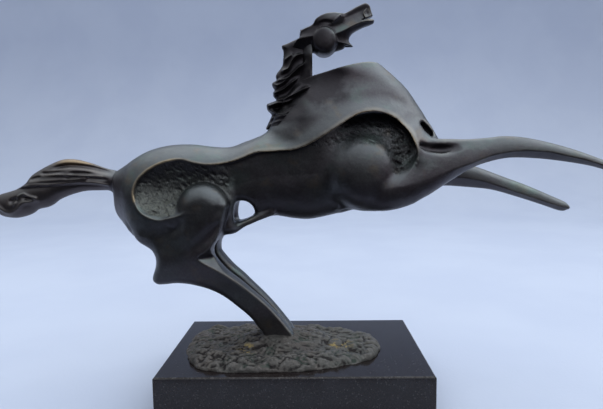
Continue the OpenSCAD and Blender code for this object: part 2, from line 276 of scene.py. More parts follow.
def shell_map(g):
    """Half width squared of the smooth outer shell: back, rump, neck and breast."""
    x, z = g.x, g.z
    trunk = ovals(TRUNK, x, z)
    neck = ovals(NECK, z, x)
    both = -join(-trunk, -neck, 260)
    half = np.sqrt(np.maximum(both, 0))
    rim, _ = distance_to_line(RIM, x, z)
    outside = distance_to_outline(FLANK, x, z) > -1
    lip = 2.6 * bump(rim, 7) * outside * step(x, -70, 20)
    ridge, along = distance_to_line(
        [(18, 333), (33, 327.5), (46, 321), (60, 316.5), (78, 312), (98, 300), (112, 284)], x, z
    )
    valley, _ = distance_to_line([(10, 258), (45, 281), (80, 289), (112, 280), (124, 262)], x, z)
    hollow = np.hypot((x - 30) / 31, (z - 305) / 22)
    under_mane = step(-distance_to_curve(MANE_OUTLINE, x, z), -2, 15)
    half = half + lip + (2.5 - 2.2 * along) * bump(ridge, 7) - bump(valley, 6) - 7 * bump(hollow, 1)
    half = half - 3 * under_mane * step(-z, -345, -325)
    return np.where(both > 0, np.sign(half) * half**2, both)


def inner_map(g, square, flank):
    """Half width squared of the body inside the shell: a scooped bowl at the rump, ovals ahead of it."""
    x, z = g.x, g.z
    shell = np.sqrt(np.maximum(square, 0))
    ease = 5 + 15 * step(-x, 98, 130) * step(-z, -215, -180)
    floor = np.clip(17 + 0.16 * (z - 205), 12, 24)
    bowl = floor + (shell - floor) * np.exp(-np.maximum(-flank, 0) / ease)
    bowl = np.where(square > 0, np.maximum(np.minimum(bowl, shell), 0.5) ** 2, square)
    core = ovals(CORE, x, z)
    lean = np.maximum(z - track(CORE, 1, x), 0)
    wall = np.clip(track(CORE, 3, x) + 0.06 * lean, 0, np.maximum(shell - 4, 0)) ** 2
    upright = step(lean, 0, 2) * step(-x, -62, -22) * step(-flank, -10, -3)
    core = core + np.maximum(wall - core, 0) * upright
    share = step(-x, 60, 85)
    return core * (1 - share) + bowl * share


def torso(g):
    """Shell, hollowed flanks and the body inside them."""
    square = shell_map(g)
    outer = g.relief(square)
    depth = g.spread(np.sqrt(np.maximum(square, 0))) - np.abs(g.y)
    flank = distance_to_outline(FLANK, g.x, g.z)
    undercut = 2.5 + 6.5 * step(g.x, -70, 10) * step(g.z, 225, 240)
    window = g.spread(flank) - g.spread(undercut) * step(depth, 1.2, 10)
    shell = np.maximum(outer, -window)
    inner = g.relief(inner_map(g, square, flank))
    body = join(shell, inner, 3)
    gap = g.ellipsoid((-51, 0, 181.3), (11.5, 300, 11.3))
    body = cut(body, gap, 9)
    flap = g.rod(
        [(-70, 165.5), (-59, 166.5), (-47.5, 170.5), (-36, 175.5), (-22, 181.5)],
        (4.5, 4.2, 3, 3.2, 4),
        np.maximum(np.abs(g.y) - 10, 0),
    )
    # The body is trimmed to the trunk's profile behind the rump, and at about 44 mm off it further forward,
    # which also cuts the upper neck.
    off = np.abs(g.z - track(TRUNK, 1, g.x)) - track(TRUNK, 2, g.x)
    clear = np.maximum(0.7 * off - 1, -181 - g.x) - 30 * step(g.x, -174, -160)
    return np.maximum(join(body, flap, 4), g.spread(clear))


# The near edge of the face that runs down the front of the hind leg, from the flank to the hoof.
LEG_CREASE = [
    (-60, 196), (-62, 187), (-64.5, 177), (-71, 167), (-77, 157), (-80.5, 149), (-84.5, 145.5),
    (-89, 142.5), (-93, 138.5), (-85.5, 133), (-71.5, 124.5), (-60, 117), (-48, 107.5), (-35, 96),
    (-23, 83.5), (-11, 69), (-1, 55), (2, 40),
]  # fmt: skip

HIND_LEG = [
    (-117, 177), (-115.5, 188), (-111.5, 198), (-103, 206), (-92.5, 210.5), (-82, 211), (-72, 206.5),
    (-64.5, 199.5), (-61, 191), (-63, 183), (-65.5, 174), (-68, 167),
    (-72, 158.5), (-76, 152.5), (-78.5, 147), (-78.5, 141), (-76, 136), (-71.5, 130), (-65, 123),
    (-54, 114), (-47, 107.5), (-35, 96.5), (-23, 84), (-11, 69.5), (-1.5, 56), (1, 44),
    (-33, 44), (-33, 57), (-38, 64), (-43, 71.5), (-50, 79), (-58, 86), (-66, 93), (-75, 99.5),
    (-86, 105), (-97, 108.5), (-106, 110.5), (-117, 111.5), (-128, 110.5), (-136, 110.5), (-140.5, 115),
    (-139.5, 121), (-136.5, 129), (-135.5, 137), (-138, 145), (-143, 150.5), (-149, 155), (-152, 161),
    (-149, 167), (-140, 168), (-130, 167), (-121, 167), (-114, 169),
]  # fmt: skip


def hind_legs(g):
    """Both hind legs and thighs, mirror images."""
    x, z = g.x, g.z
    across = np.abs(g.y)
    out = profile([(44, 8), (60, 8), (80, 9.5), (100, 12), (120, 16), (140, 19), (165, 21.5), (205, 21)], z)
    half = [
        (44, 7.5), (60, 7), (80, 6.8), (100, 7.5), (120, 10), (140, 12.5), (152, 13.3), (185, 17),
        (215, 17.5),
    ]  # fmt: skip
    half = profile(half, z) * (1 - 0.65 * step(-x, 96, 126) * step(z, 130, 175))
    back_ease = profile([(44, 5), (80, 6), (110, 8), (140, 13), (165, 17), (185, 21), (215, 21)], z)
    turn = profile([(44, 44), (100, 44), (140, 45), (160, 70), (170, 92), (180, 110), (200, 140)], z)
    front = step(x + z - turn, -6, 8)
    ease = back_ease * (1 - front) + 3 * front
    outside = distance_to_curve(HIND_LEG, x, z)
    share = np.minimum(-outside / ease, 1)
    square = half**2 * np.where(share > 0, share * (2 - share), 2 * share)
    leg = np.maximum(g.relief(square, out, across), g.spread(0.7 * outside - 2))
    ahead = np.maximum(-distance_to_outline(LEG_CREASE + [(120, 40), (120, 196)], x, z), 0)
    face = (across - g.spread(out + 0.95 * half - 1.1 * ahead)) / 1.4
    leg = -join(-leg, -face, 0.8)
    valley = [(-62, 180), (-67, 172.5), (-79, 162), (-90, 152.5), (-99, 146)]
    leg = cut(leg, g.rod(valley, (1, 3, 3.4, 3, 1), across - 37), 8)
    strap = g.rod([(-59, 212), (-63, 194), (-65, 180), (-64, 169)], (2, 6.4, 6, 6), across - 16)
    return join(leg, strap, 4)


# Where both forelegs start inside the chest: top, crease, underside, place across and half width.
FORELEG_ROOT = (
    [(44, 208), (60, 216), (80, 219), (100, 221)],
    [(44, 200), (80, 203)],
    [(44, 192), (57, 186.5), (71, 183), (85, 182), (99, 184)],
    [(44, 8), (60, 14), (84, 23), (120, 25)],
    [(44, 2), (56, 5), (70, 11), (88, 15), (124, 14), (160, 11)],
)


def foreleg(g, across, *curves):
    """A foreleg whose side face meets its slanting underside in a crease. Its curves go on from the root's."""
    top, crease, bottom, out, half = (root + curve for root, curve in zip(FORELEG_ROOT, curves))
    x, z = g.x, g.z
    high, fold, low = profile(top, x), profile(crease, x), profile(bottom, x)
    above = (z - fold) / np.maximum(high - fold, 0.5)
    below = (fold - z) / np.maximum(fold - low, 0.5)
    creased = step(x, 130, 165)
    under = (1 - below) * (1 - 0.3 * np.minimum(below, 1)) * creased + (1 - below**2) * (1 - creased)
    share = np.where(z > fold, 1 - 0.3 * above - 0.7 * above**2, under)
    beyond = np.maximum(np.maximum(top[0][0] - x, x - top[-1][0]), 0)
    square = profile(half, x) ** 2 * share - 30 * beyond
    clear = 0.7 * np.maximum(np.maximum(z - high, low - z), beyond) - 2
    return np.maximum(g.relief(square, profile(out, x), across), g.spread(clear))


def near_foreleg(g):
    top = [
        (114, 233), (124, 243), (135, 249), (149, 249.5), (163, 249), (175, 249.5), (188, 250.5),
        (200, 251.5), (219, 250), (242, 245), (266, 238), (293, 228), (308, 221.5), (314, 218),
    ]  # fmt: skip
    crease = [
        (110, 208), (140, 218), (164, 225.5), (179, 231), (189, 234), (209, 237),
        (226, 237), (242, 235.5), (257, 232), (275, 228), (295, 221.5), (314, 217.5),
    ]  # fmt: skip
    bottom = [
        (113, 188.5), (121, 193), (131, 198.5), (149, 210), (169, 221.5), (184, 227), (205, 231),
        (232, 230), (256, 227), (281, 222.5), (303, 216.5), (314, 217),
    ]  # fmt: skip
    out = [(160, 23), (220, 20), (314, 20)]
    half = [(200, 9), (240, 8), (284, 5.4), (306, 4.2), (314, 2.5)]
    return foreleg(g, -g.y, top, crease, bottom, out, half)


def far_foreleg(g):
    top = [
        (118, 231), (132, 235), (145, 234.5), (160, 230.5),
        (175, 226), (191, 221.5), (217, 211.5), (243, 201.5), (270, 189.5), (280, 185), (284.5, 181),
    ]  # fmt: skip
    crease = [
        (110, 206), (140, 211), (165, 212), (191, 208), (217, 199.5), (243, 190.5), (270, 181.5),
        (284.5, 178.5),
    ]  # fmt: skip
    bottom = [
        (113, 189), (130, 196.5), (142, 201),
        (156, 203), (178, 201.5), (204, 198.5), (230, 191), (257, 182), (276, 175.5), (284.5, 177),
    ]  # fmt: skip
    out = [(160, 22), (200, 20), (285, 20)]
    half = [(200, 8.7), (240, 7.2), (270, 6), (285, 3)]
    return foreleg(g, g.y, top, crease, bottom, out, half)


def slab(g, centre, radii, tilt, power, dome=0.0):
    """A map that is 1 in the middle of a tilted oval and falls to 0 at its edge, steeply for a high power."""
    c, s = math.cos(math.radians(tilt)), math.sin(math.radians(tilt))
    dx, dz = g.x - centre[0], g.z - centre[1]
    ring = np.hypot((dx * c + dz * s) / radii[0], (dz * c - dx * s) / radii[1])
    return 1 - dome * ring**2 - (1 - dome) * ring**power


def shoulders(g):
    return g.relief(27.5**2 * slab(g, (68.5, 219), (34.5, 37.5), 20, 4, 0.7), 13, np.abs(g.y))


def horse(g):
    """The whole horse but its head and mane."""
    body = torso(g)
    soft = np.maximum(step(-g.z, -178, -160), step(-g.x, 104, 120))
    body = join(body, hind_legs(g), g.spread(4 + 9 * soft))
    body = join(body, near_foreleg(g), 9)
    body = join(body, far_foreleg(g), 9)
    fade = step(50 - g.x, -8, 8) * step(g.z, 186, 200)
    body = join(body, shoulders(g), g.spread(4 + 7 * fade))
    near = -g.y
    groove = [(120, 243), (129, 241), (139, 240.5), (149, 242), (162, 246)]
    body = cut(body, g.rod(groove, (0.8, 2.4, 3.4, 2.4, 0.8), near - 32), 6)
    hole = [(124.5, 264), (128.5, 259.5), (133, 255)]
    body = cut(body, g.rod(hole, (2, 3.2, 2.5), np.maximum(np.abs(near - 16) - 8, 0)), 4)
    if g.x.min() < -150:
        body = join(body, tail(g), 9)
    return body


def head(g):
    x, z = g.x, g.z
    across = np.abs(g.y)
    top = [
        (0, 338), (7.5, 347), (9.5, 355.5), (13.5, 358), (21, 361.5), (25, 366.5), (30, 369.5), (34.5, 371),
        (41, 371.5), (49, 371), (55.5, 374), (62, 377.5), (68.5, 380.5), (72.5, 381.5), (76, 379),
        (77.5, 374),
        (80.5, 366),
    ]  # fmt: skip
    bottom = [
        (0, 338), (20, 336), (31, 335.5), (43, 337), (51, 339.5), (54.5, 346.5), (59.5, 353.5),
        (68.5, 358.5),
        (76, 361), (80.5, 363),
    ]  # fmt: skip
    jaw = [(0, 347), (20, 349), (35, 350), (44.5, 351.5), (55, 357), (63.5, 361), (71, 363), (80.5, 364)]
    half = [
        (0, 7), (12, 10.5), (25, 12.5), (35, 12.8), (45, 11), (55, 8.6), (65, 7.3), (73, 6.6), (80.5, 3),
    ]  # fmt: skip
    high, edge, low, width = profile(top, x), profile(jaw, x), profile(bottom, x), profile(half, x)
    above = (z - edge) / np.maximum(high - edge, 1)
    below = (edge - z) / np.maximum(edge - low, 1)
    over = [(0, 1), (0.15, 0.9), (0.4, 0.74), (0.65, 0.65), (0.8, 0.66), (0.9, 0.64), (0.97, 0.45), (1, 0.2)]
    under = [(0, 1), (0.3, 0.84), (0.7, 0.62), (0.92, 0.4), (1, 0.2)]
    share = np.where(z > edge, profile(over, above), profile(under, below)) ** 2
    share = share - 3 * np.maximum(np.maximum(above, below) - 1, 0)
    beyond = np.maximum(np.maximum(-x, x - 80), 0)
    body = g.relief(width**2 * share - 30 * beyond)
    body = np.maximum(body, g.spread(0.7 * np.maximum(np.maximum(z - high, low - z), beyond) - 2))
    cheek = g.relief(15.8**2 * slab(g, (32, 345.5), (13, 13.6), 0, 8, 0.25))
    body = join(body, cheek, 0.8)
    brow = g.ellipsoid((37, 6.5, 365), (13, 4.6, 5.4), 12, across)
    body = join(body, brow, 6)
    eye = g.rod([(23, 357.5), (28, 361), (33.5, 362), (42, 360.5)], (0.5, 1.2, 1.3, 0.5), across - 12.3)
    body = cut(body, eye, 2)
    fold = g.rod([(40, 361), (43, 364.5), (47, 368)], (0.6, 1.1, 0.8), across - 10.4)
    body = join(body, fold, 1)
    ring = [(73, 375.5), (71, 373), (70, 370), (71.5, 367), (73.5, 365.5)]
    body = join(body, g.rod(ring, (0.5, 0.8, 0.9, 0.8, 0.5), across - 5.8), 0.8)
    body = cut(body, g.ellipsoid((74.3, 7.5, 371.3), (2.4, 3.6, 4), 0, across), 1)
    mouth = g.rod([(68, 364.5), (75, 367), (85, 368.5)], (0.2, 0.7, 2.6), np.maximum(across - 20, 0))
    return cut(body, mouth, 0.8)


def head_and_neck(g):
    return join(head(g), g.relief(shell_map(g)), 4)


MANE_OUTLINE = [
    (-26, 262), (-25, 267), (-21.5, 274), (-21, 277), (-24.5, 280.5), (-25.5, 284.5), (-24.5, 287.5),
    (-16, 290.5), (-18.5, 294), (-19, 298), (-17.5, 300.5), (-19.5, 304), (-19.5, 307.5), (-15.5, 310),
    (-16, 313.5), (-14.5, 317), (-9.5, 323.5), (-8.5, 329.5), (-8, 337.5), (-9.5, 341), (-9, 343.5),
    (-4.5, 345), (1, 347.5), (7, 350), (8, 353), (9, 356.5), (14, 356.5), (21, 348), (24, 334), (22, 318),
    (24, 303), (18, 288),
    (12, 274), (0, 266), (-12, 261),
]  # fmt: skip
# Ridges of the locks, each from its tip at the back of the neck to its root, with its height.
LOCKS = [
    (3, [(-7.5, 328), (-2, 331.5), (3, 334.5)]),
    (4.5, [(-8, 318), (-3, 320.5), (0, 326.5), (3.5, 331), (8.5, 333.5), (15.5, 335)]),
    (4.5, [(-15, 308.5), (-12, 309), (-4.5, 311), (1.5, 316), (7, 321), (12, 324.5), (15.5, 329.5)]),
    (4, [(-19, 303.5), (-13, 304.5), (-7, 307.5), (-1, 313)]),
    (4.5, [(-18, 296.5), (-9, 300), (-4, 303.5), (2.5, 308.5), (8.5, 313.5)]),
    (4.5, [(-16, 289.5), (-5.5, 291.5), (-0.5, 295), (5, 300.5), (11.5, 307)]),
    (5, [(-7, 290), (2, 294.5), (11, 299), (20, 303)]),
    (5, [(-25, 284), (-15, 287), (-5, 287.5), (4, 291.5)]),
    (4, [(-23, 281), (-11, 276), (-2.5, 279), (6.5, 282.5), (13.5, 285.5)]),
    (3.5, [(-20, 273), (-12, 273.5), (-2.5, 275.5), (10.5, 276.5)]),
    (3, [(-22, 267), (-11, 269.5), (2, 271), (9, 272)]),
]


def mane(g):
    x, z = g.x, g.z
    inside = np.minimum(-distance_to_curve(MANE_OUTLINE, x, z) / 5, 1)
    neck = np.sqrt(np.maximum(shell_map(g), 0))
    half = np.maximum(neck - 0.3, 4.5)
    for height, lock in LOCKS:
        away, along = distance_to_line(lock, x, z)
        half = half + height * np.exp(-away / 2.1) * step(1 - along, 0, 0.35)
    shade, _ = distance_to_line([(-16, 283), (-5, 285), (6, 290), (17, 297)], x, z)
    half = half - 2.5 * bump(shade, 2.5)
    square = half**2 * np.where(inside > 0, inside * (2 - inside), 2 * inside)
    return g.relief(square)


# Hollows between the tail's strands: depth, width and curve.
TAIL_HOLLOWS = [
    (4, 2.3, [(-241, 226), (-231, 228.5), (-221.5, 229.5), (-206.5, 228), (-192, 224.5), (-180, 221)]),
    (1.8, 1.4, [(-252, 222.5), (-245, 222), (-239.5, 222.5), (-227, 223.5)]),
    (1.8, 1.4, [(-221, 222), (-210, 222), (-198, 221)]),
    (1.5, 1.3, [(-263, 216), (-257, 217.5), (-249.5, 218.5)]),
    (1.5, 1.2, [(-226, 217), (-219, 218), (-211, 218)]),
    (1.5, 1.3, [(-204, 216.5), (-197, 216.5), (-184, 215)]),
    (2.6, 2.4, [(-285, 193.5), (-279, 196), (-274.5, 196)]),
    (2.2, 1.8, [(-270, 198), (-265, 197), (-259, 196)]),
]
# Raised lines on the tail.
TAIL_RIDGES = [
    (1.2, 1.2,
     [(-272.5, 209), (-256, 211), (-241, 211), (-226, 212), (-211, 213), (-196, 212), (-184, 209.5)]),
    (1.5, 1.1, [(-279, 191), (-276, 196.5), (-274, 200), (-268.5, 202), (-262.5, 199.5), (-256.5, 198)]),
    (1.6, 2.2,
     [(-302, 190), (-295.5, 188.5), (-286, 183), (-277.5, 186), (-271, 192), (-264.5, 194.5), (-256, 196)]),
    (0.9, 1.2, [(-246, 221), (-232, 220.5), (-220, 220), (-206, 219.5), (-190, 218)]),
    (0.9, 1.5, [(-262, 213), (-248, 214.5), (-236, 215), (-222, 215.5), (-206, 216)]),
]


def tail(g):
    x, z = g.x, g.z
    top = [
        (-308, 189), (-305, 196), (-299, 201), (-282, 206), (-270, 213), (-263, 221), (-249, 229),
        (-236, 234.5),
        (-228, 236), (-216, 235), (-202, 231), (-190, 226.5), (-180, 224), (-168, 221.5),
    ]  # fmt: skip
    bottom = [
        (-308, 188), (-305, 184), (-300, 181), (-295, 178.5), (-285, 177), (-276, 178), (-267, 181),
        (-260, 185.5),
        (-251, 187.5), (-245, 190), (-238, 195), (-231, 198), (-222, 201), (-210, 203.5), (-192, 204),
        (-180, 203.5), (-168, 205),
    ]  # fmt: skip
    half = [
        (-308, 3), (-300, 7), (-290, 9.5), (-277, 11), (-250, 12.5), (-222, 12), (-206, 11), (-188, 10),
        (-168, 10),
    ]  # fmt: skip
    fold = [(-308, 203), (-290, 205), (-272, 208.5), (-241, 210.5), (-211, 212), (-190, 210.5), (-168, 208)]
    high, low, width = profile(top, x), profile(bottom, x), profile(half, x)
    place = (2 * z - high - low) / (high - low)
    wide = width * np.sqrt(np.maximum(1 - place**2, 0))
    under = profile(fold, x) - z
    part = step(x, -285, -268) * step(-x, 180, 196)
    wide = wide - 3.2 * step(under, 0, 1.6) * np.exp(-np.maximum(under, 0) / 7) * part
    edge = step(1 - place**2, 0, 0.25)
    for depth, reach, curve in TAIL_HOLLOWS:
        away, along = distance_to_line(curve, x, z)
        wide = wide - depth * bump(away, reach) * edge * step(np.minimum(along, 1 - along), -0.1, 0.25)
    for height, reach, curve in TAIL_RIDGES:
        away, _ = distance_to_line(curve, x, z)
        wide = wide + height * bump(away, reach) * edge
    wide = np.maximum(wide, 0.3)
    square = np.where(place**2 < 1, wide**2, width**2 * (1 - place**2))
    beyond = np.maximum(np.maximum(top[0][0] - x, x - top[-1][0]), 0)
    clear = 0.7 * np.maximum(np.maximum(z - high, low - z), beyond) - 1
    return np.maximum(g.relief(square - 30 * beyond), g.spread(clear))


# ---------------------------------------------------------------- meshes


def sample(values, g, points):
    """Values of a whole grid at points, by straight interpolation."""
    at = (points - g.origin) / g.voxel
    low = np.clip(np.floor(at).astype(int), 0, np.array(values.shape[:3]) - 2)
    part = np.clip(at - low, 0, 1)
    total = 0.0
    for corner in range(8):
        bits = np.array([corner & 1, corner >> 1 & 1, corner >> 2 & 1])
        weight = np.prod(np.where(bits, part, 1 - part), axis=1)
        i, j, k = (low + bits).T
        picked = values[i, j, k]
        total = total + (weight[:, None] if picked.ndim == 2 else weight) * picked
    return total


def blurred(values, reach):
    """The mean over a cube of points on each side."""
    for axis in range(3):
        before = np.repeat(values.take([0], axis), reach + 1, axis)
        after = np.repeat(values.take([-1], axis), reach, axis)
        padded = np.concatenate([before, values, after], axis)
        total = np.cumsum(padded, axis)
        count = 2 * reach + 1
        size = values.shape[axis]
        values = (total.take(range(count, count + size), axis) - total.take(range(size), axis)) / count
    return values


def sculpt(name, g, field, seams=(), extras=None):
    """A smooth mesh of a field. seams are planes (point, outward normal) where it ends flat."""
    vdb = openvdb.FloatGrid(background=4.0)
    vdb.copyFromArray(np.clip(field, -4, 4).astype(np.float32))
    points, triangles, quads = vdb.convertToPolygons()
    mesh = bpy.data.meshes.new(name)
    faces = triangles.tolist() + quads.tolist()
    mesh.from_pydata(points * g.voxel + g.origin, [], faces)
    if seams:
        bm = bmesh.new()
        bm.from_mesh(mesh)
        for point, normal in seams:
            everything = bm.verts[:] + bm.edges[:] + bm.faces[:]
            result = bmesh.ops.bisect_plane(
                bm, geom=everything, plane_co=point, plane_no=normal, clear_outer=True, dist=1e-5
            )
            edge = [e for e in result["geom_cut"] if isinstance(e, bmesh.types.BMEdge)]
            bmesh.ops.triangle_fill(bm, edges=edge, use_beauty=False, normal=normal)
        bm.to_mesh(mesh)
        bm.free()
    mesh.polygons.foreach_set("use_smooth", np.ones(len(mesh.polygons), bool))
    co = np.empty(3 * len(mesh.vertices))
    mesh.vertices.foreach_get("co", co)
    co = co.reshape(-1, 3)
    slopes = np.stack(np.gradient(field, g.voxel), axis=-1)
    normals = sample(slopes, g, co)
    normals /= np.linalg.norm(normals, axis=1)[:, None] + 1e-9
    bulge = sample(blurred(field, max(1, round(2.4 / g.voxel))) - field, g, co)
    add_attribute(mesh, "bulge", bulge)
    for key, value in (extras or {}).items():
        add_attribute(mesh, key, sample(value, g, co))
    mesh.vertices.foreach_set("co", (co * MM).ravel())
    mesh.normals_split_custom_set_from_vertices(normals)
    mesh.update()
    piece = bpy.data.objects.new(name, mesh)
    bpy.context.collection.objects.link(piece)
    return piece


def add_attribute(mesh, name, values):
    attribute = mesh.attributes.new(name, "FLOAT", "POINT")
    attribute.data.foreach_set("value", values.astype(np.float32))


def tilted_seam(seam, up):
    """The plane of a tilted seam, with its outward normal up or down."""
    (x, z), slope = seam
    turn = math.radians(slope)
    sign = 1 if up else -1
    return (x, 0, z), (-sign * math.sin(turn), 0, sign * math.cos(turn))


def rim_wear(g):
    """1 on the rim's edge, where the patina is rubbed through to the metal."""
    away, _ = distance_to_line(RIM, g.x, g.z)
    square = shell_map(g)
    depth = g.spread(np.sqrt(np.maximum(square, 0))) - np.abs(g.y)
    ends = step(np.maximum(g.z, 340 - g.x), 236, 249)
    return g.spread(bump(away, 0.75) * ends) * bump(depth, 2)


def hollow_mask(g):
    """1 where the metal is left as tooled: the rump's bowl, beside the shoulder and under the jaw."""
    flank = distance_to_outline(FLANK, g.x, g.z)
    rump = step(-flank, 0.5, 3) * step(-g.x, 55, 75) * step(g.z, 176, 180)
    breast = step(-flank, 0, 3) * step(g.x, 86, 98) * step(g.z, 212, 220)
    over = step(-flank, 0, 3) * step(g.x, 8, 24) * step(g.z, 241, 248)
    jaw = bump(np.hypot((g.x - 49) / 6, (g.z - 331) / 6), 1)
    jaw = jaw + bump(np.hypot((g.x - 37) / 5, (g.z - 325.5) / 3), 1)
    return rump + np.maximum(breast, 0.5 * over) + jaw


def tooled_zone(g):
    """The hollow mask on the floors only, clear of the shell's outside and of the thigh's ball."""
    depth = g.spread(np.sqrt(np.maximum(shell_map(g), 0))) - np.abs(g.y)
    floor = np.where(g.spread(g.z) > 300, 1, step(depth, 1, 4))
    ball = np.hypot((g.x + 86) / 25, (g.z - 184) / 27)
    return g.spread(np.minimum(hollow_mask(g), 1) * step(ball, 0.98, 1.12)) * floor


def tooled(g, field):
    """Presses short gouges into the floor of the hollows."""
    dashes = lattice_noise(3, (g.x - g.z * 0.5) / 4 + 60, (g.z + g.x * 0.5) / 1.9 + 190)
    marks = g.spread(2 * np.maximum(dashes - 0.1, 0))
    return field + marks * tooled_zone(g) * step(-np.abs(field), -5, -3)


def plane(axis, at, sign):
    """A seam square to an axis."""
    point, normal = [0.0] * 3, [0.0] * 3
    point[axis], normal[axis] = float(at), float(sign)
    return tuple(point), tuple(normal)


HORSE_PIECES = {
    "rump": (0.9, [plane(0, TAIL_SEAM, -1), plane(0, RUMP_SEAM, 1), plane(2, HIND_LEG_SEAM, -1)]),
    "barrel": (0.9, [plane(0, RUMP_SEAM, -1), plane(0, CHEST_SEAM, 1), tilted_seam(NECK_SEAM, True)]),
    "chest": (0.9, [plane(0, CHEST_SEAM, -1), plane(0, FORELEG_SEAM, 1), tilted_seam(NECK_SEAM, True)]),
    "neck": (0.9, [tilted_seam(NECK_SEAM, False), tilted_seam(HEAD_SEAM, True)]),
    "near_hind_leg": (0.9, [plane(2, HIND_LEG_SEAM, 1), plane(2, GROUND, -1), plane(1, 0, 1)]),
    "far_hind_leg": (0.9, [plane(2, HIND_LEG_SEAM, 1), plane(2, GROUND, -1), plane(1, 0, -1)]),
    "near_foreleg": (0.9, [plane(0, FORELEG_SEAM, -1), plane(1, 0, 1)]),
    "far_foreleg": (0.9, [plane(0, FORELEG_SEAM, -1), plane(1, 0, -1)]),
}


def grid_for(node, voxel, room=8):
    low, high = node_box(node)
    return Grid(low - room, high + room, voxel)


def sculpt_horse():
    made = {}
    for name, (voxel, seams) in HORSE_PIECES.items():
        g = grid_for(name, voxel)
        field = horse(g)
        if name == "neck":
            field = join(field, head(g), 4)
        field = tooled(g, field)
        extras = {"worn": rim_wear(g), "tooled": tooled_zone(g)}
        made[name] = sculpt("bronze_" + name, g, field, seams, extras)
    g = grid_for("head", 0.5)
    made["head"] = sculpt("bronze_head", g, tooled(g, head_and_neck(g)), [tilted_seam(HEAD_SEAM, False)])
    g = grid_for("mane", 0.6)
    made["mane"] = sculpt("bronze_mane", g, mane(g))
    g = grid_for("tail", 0.8)
    made["tail"] = sculpt("bronze_tail", g, horse(g), [plane(0, TAIL_SEAM, 1)])
    return made


# ---------------------------------------------------------------- ground plate and felt

PLATE = [
    (-108, -28), (-98, -48), (-76, -63), (-45, -66), (0, -65), (40, -57), (68, -42), (84, -18), (85, 5),
    (73, 26),
    (46, 39), (10, 46), (-40, 49), (-85, 47), (-106, 34), (-112, 5),
]  # fmt: skip


def clods(seed, x, y, size):
    """Rounded lumps with creases between them, from 0 in a crease to 1 on a lump."""
    rng = np.random.default_rng(seed)
    table = rng.uniform(-0.42, 0.42, (32, 32, 2))
    u, v = x / size + 60, y / size + 60
    near = np.full(np.broadcast(u, v).shape, 9.0)
    second = near.copy()
    for i in (-1, 0, 1):
        for j in (-1, 0, 1):
            cell_u, cell_v = np.floor(u) + i, np.floor(v) + j
            shift = table[cell_u.astype(int) % 32, cell_v.astype(int) % 32]
            away = np.hypot(cell_u + 0.5 + shift[..., 0] - u, cell_v + 0.5 + shift[..., 1] - v)
            second = np.minimum(second, np.maximum(near, away))
            near = np.minimum(near, away)
    return step(second - near, 0.02, 0.5)


def sculpt_plate():
    """The ground, pressed from clay in lumps and strokes. The grid's axes are the object's x, z and y."""
    low, high = node_box("ground_plate")
    g = Grid((low[0] - 4, low[2] - 2, low[1] - 4), (high[0] + 4, high[2] + 9, high[1] + 4), 0.8)
    x, y = np.broadcast_arrays(g.x, g.z)
    warp = 4 * lattice_noise(21, x / 14 + 40, y / 14 + 40)
    twist = 4 * lattice_noise(22, x / 11 + 70, y / 11 + 70)
    swells = lattice_noise(11, x / 18 + 30, y / 13 + 30) + 0.6 * lattice_noise(12, x / 8 + 50, y / 5 + 50)
    level = 2.4 * swells + 0.3 * lattice_noise(19, x / 3 + 90, y / 3 + 90) + 20
    layers = np.floor(level) + step(level % 1, 0.6, 1) - 20
    strokes = np.abs(lattice_noise(13, (x + 0.8 * y) / 22 + 60, (y - 0.6 * x + 1.5 * warp) / 3 + 60))
    arcs = np.abs(lattice_noise(18, np.hypot(x - 95, y + 5) / 3.2 + 30, (y + warp) / 25 + 40))
    grit = lattice_noise(14, x / 2.2 + 150, y / 2.2 + 150)
    edge = distance_to_curve(PLATE, x, y, 4)
    edge = edge + 2.2 * lattice_noise(15, x / 15 + 20, y / 15 + 20)
    edge = edge + 0.7 * lattice_noise(16, x / 4 + 20, y / 4 + 20) + 1
    right = step(x, 12, 26)
    front = step(-y, 20, 40) * step(edge, -30, -12) * (1 - 0.8 * step(x, 25, 55))
    big = clods(31, (x + twist) / 1.5, y + warp, 11)
    small = clods(32, (x - warp) / 1.4, y + twist, 5)
    patchy = step(lattice_noise(17, x / 14 + 90, y / 12 + 90), -0.2, 0.5) * (1 - 0.7 * right)
    footing = step(np.hypot((x + 16) / 52, (y + 1) / 34), 1.2, 0.3)
    hoofprint = step(np.hypot((x + 16) / 20, (y + 1) / 24), 1.2, 0.7)
    ledge = bump(np.hypot((x - 6) / 24, (y + 26) / 10), 1)
    calm = np.minimum(hoofprint + 0.8 * ledge, 1)
    rough = 1.2 * layers + 0.9 * (strokes - 0.4) * (1 - 0.8 * right) + 0.8 * (arcs - 0.3) * right
    rough = rough + small * patchy * front + 1.8 * front * big + 0.4 * grit * (1 - 0.6 * right)
    top = high[2] - 4.2 + rough * (1 - 0.75 * calm) + 8.4 * footing + 1.2 * hoofprint - 3 * step(edge, -7, 1)
    studs = node_box("mounting_studs")
    middle, reach = (studs[0] + studs[1]) / 2, (studs[1] - studs[0]) / 2
    off_stud = np.hypot(np.abs(x - middle[0]) - reach[0] + reach[1], y - middle[1])
    top = np.maximum(top, studs[1][2] + 1.5 - 0.6 * np.maximum(off_stud - 5, 0))
    up = g.y
    side = g.spread(edge) + 1.5 * step(up, low[2], high[2])
    over = up - g.spread(top)
    return g, -join(-side, -over, 2.5), low[2]


def swap_axes(piece):
    """Turns a mesh made with height as its middle axis upright."""
    piece.data.transform(Matrix(((1, 0, 0, 0), (0, 0, 1, 0), (0, 1, 0, 0), (0, 0, 0, 1))))
    piece.data.flip_normals()


